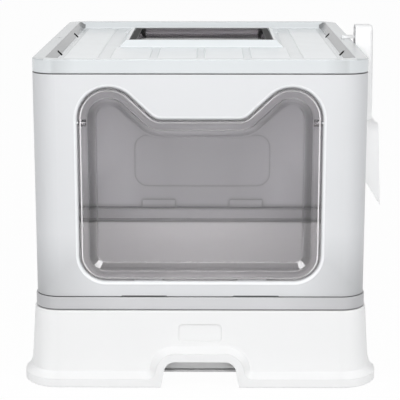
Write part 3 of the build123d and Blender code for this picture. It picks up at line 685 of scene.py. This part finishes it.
# Scoop: the white litter scoop that hangs on the lid's right rim by its peg.
# It is one thin-walled polypropylene moulding, open towards the box, and its handle's
# outer edges are rounded.
scoop_low, scoop_high = (np.array(corner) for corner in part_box("scoop"))
scoop_back = 0.196
shoulder = scoop_high[2] - 0.121
handle_outer = 0.2185
mouth_loss, head_loss = 0.1, 0.09


def slimmer(points):
    """Scoop's points with the depth narrowed towards the mouth and the head shortened.

    The depth beyond the open side keeps its whole at the top and loses evenly on the way
    down, to a tenth at the mouth. The height below the shoulder keeps 0.91 of itself.
    """
    down = (scoop_high[2] - points[:, 2]) / (scoop_high[2] - scoop_low[2])
    depth = np.maximum(points[:, 0] - scoop_back, 0.0)
    below = np.maximum(shoulder - points[:, 2], 0.0)
    inwards, upwards = mouth_loss * down * depth, head_loss * below
    return points + np.stack([-inwards, np.zeros_like(down), upwards], axis=1)


def on_handle(edge):
    """Whether an edge is a sharp one of the handle's outer face."""
    near = 0.1 * mm
    reached = all(end.co.z > shoulder - near and end.co.x > handle_outer - near
                  for end in edge.verts)
    return reached and edge.calc_face_angle(0.0) > radians(60.0)


def scoop_mesh():
    """Mesh of the scoop: its solid's form, merged, rounded at the handle, and made slimmer."""
    shell = bmesh.new()
    shell.from_mesh(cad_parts["scoop"].data)
    bmesh.ops.remove_doubles(shell, verts=shell.verts, dist=0.01 * mm)
    bmesh.ops.dissolve_limit(shell, angle_limit=radians(0.5), verts=shell.verts,
                             edges=shell.edges)
    outline = [edge for edge in shell.edges if on_handle(edge)]
    bmesh.ops.bevel(shell, geom=outline, offset=4.5 * mm, segments=6, profile=0.5,
                    affect="EDGES", clamp_overlap=True)
    mesh = bpy.data.meshes.new("hanging_scoop")
    shell.to_mesh(mesh)
    shell.free()
    points = np.zeros(len(mesh.vertices) * 3)
    mesh.vertices.foreach_get("co", points)
    mesh.vertices.foreach_set("co", slimmer(points.reshape(-1, 3)).reshape(-1))
    shade_smooth(mesh)
    return mesh


scoop_plastic = moulded_plastic("scoop_plastic", linear(252, 252, 252), cloud=0.02,
                                roughness=0.34, grain=0.2, edge=0.0008, crease_shade=0.1)
hanging_scoop = new_piece("hanging_scoop", scoop_mesh(), scoop_plastic)
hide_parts("scoop")
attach(hanging_scoop, "scoop")

# Floor: a plain pale sheet under the object, not part of it.
# It shows white to the camera, and keeps the object's soft shadow.


def seen_directly(tree):
    """1 for rays that come from the camera, through clear plastic or off a gloss, else 0."""
    rays = add(tree, "LightPath", {}).outputs
    seen = maths(tree, "MAXIMUM", rays["Is Camera Ray"], rays["Is Transmission Ray"])
    return maths(tree, "MAXIMUM", seen, rays["Is Glossy Ray"])


def pale_floor():
    """White floor: part diffuse, which keeps the shadow, and part plain white to the camera."""
    sheet, tree, shader = new_material("pale_floor")
    camera_ray = add(tree, "LightPath", {}).outputs["Is Camera Ray"]
    paint = mixed(tree, "RGBA", camera_ray, (0.7, 0.7, 0.7, 1.0), (0.97, 0.97, 0.97, 1.0))
    place = add(tree, "TexCoord", {}).outputs["Object"]
    mottle = noise(tree, place, scale=3.0)
    tone = add(tree, "MapRange", {"Value": mottle, "To Min": 0.68, "To Max": 0.72})
    fill(tree, shader, {"Base Color": paint, "Roughness": tone.outputs[0]})
    white = add(tree, "Emission", {}).outputs[0]
    white_share = 0.97
    share = maths(tree, "MULTIPLY", seen_directly(tree), white_share)
    chosen = add(tree, "MixShader", {0: share, 1: shader.outputs[0], 2: white})
    fill(tree, tree.nodes["Material Output"], {"Surface": chosen.outputs[0]})
    return sheet


floor_half, floor_z = 6.0, -0.0005
floor_mesh = bpy.data.meshes.new("floor")
floor_mesh.from_pydata(
    [(-floor_half, -floor_half, floor_z), (floor_half, -floor_half, floor_z),
     (floor_half, floor_half, floor_z), (-floor_half, floor_half, floor_z)],
    [], [(0, 1, 2, 3)],
)
floor = new_piece("floor", floor_mesh, pale_floor())

# Light: a white surround and three large soft lamps, one in front and two above the sides.
# The side lamps are long and rolled, so that their glints lie along the door's corners.


def white_surround(level):
    """World that shows white, but lights the object at the level given."""
    world = bpy.data.worlds.new("surround")
    bpy.context.scene.world = world
    world.use_nodes = True
    tree = world.node_tree
    dim = fill(tree, tree.nodes["Background"],
               {"Color": (0.96, 0.98, 1.0, 1.0), "Strength": level})
    white = add(tree, "Background", {"Color": (1.0, 1.0, 1.0, 1.0)})
    chosen = add(tree, "MixShader", {
        0: seen_directly(tree), 1: dim.outputs[0], 2: white.outputs[0]})
    fill(tree, tree.nodes["World Output"], {"Surface": chosen.outputs[0]})


def soft_lamp(name, place, aim, width, height, power, roll=0.0):
    """Rectangular soft lamp at a place, turned to a point and rolled about that line."""
    data = bpy.data.lights.new(name, "AREA")
    data.shape = "RECTANGLE"
    data.size = width
    data.size_y = height
    data.energy = power
    lamp = bpy.data.objects.new(name, data)
    bpy.context.collection.objects.link(lamp)
    lamp.location = place
    turned = (Vector(aim) - Vector(place)).to_track_quat("-Z", "Y").to_matrix()
    lamp.rotation_euler = (turned @ Matrix.Rotation(roll, 3, "Z")).to_euler()


white_surround(level=0.25)
side_out, side_front, side_high = 1.68, -1.6, 2.1
side_aim, side_roll = (0.0, -0.1, 0.2), radians(57.7)
for name, side in (("left_lamp", -1.0), ("right_lamp", 1.0)):
    soft_lamp(name, (side * side_out, side_front, side_high), side_aim,
              width=1.6, height=0.5, power=25.0, roll=-side * side_roll)
soft_lamp("front_lamp", (0.0, -3.2, 0.9), (0.0, 0.0, 0.2), width=1.6, height=0.9, power=31.0)

# Camera: straight in front and a little above the lid, through a long lens.
# Its place, tilt and turn are those that the photograph's outline was fitted with.
camera_down, camera_turn = radians(12.35), radians(0.4)
camera_data = bpy.data.cameras.new("camera")
camera_data.lens = 127.4
camera_data.sensor_width = 36.0
camera_data.clip_end = 50.0
camera = bpy.data.objects.new("camera", camera_data)
bpy.context.collection.objects.link(camera)
camera.location = (0.011, -1.816, 0.566)
camera.rotation_euler = (radians(90.0) - camera_down, 0.0, camera_turn)
bpy.context.scene.camera = camera

bpy.context.scene.view_settings.view_transform = "Standard"
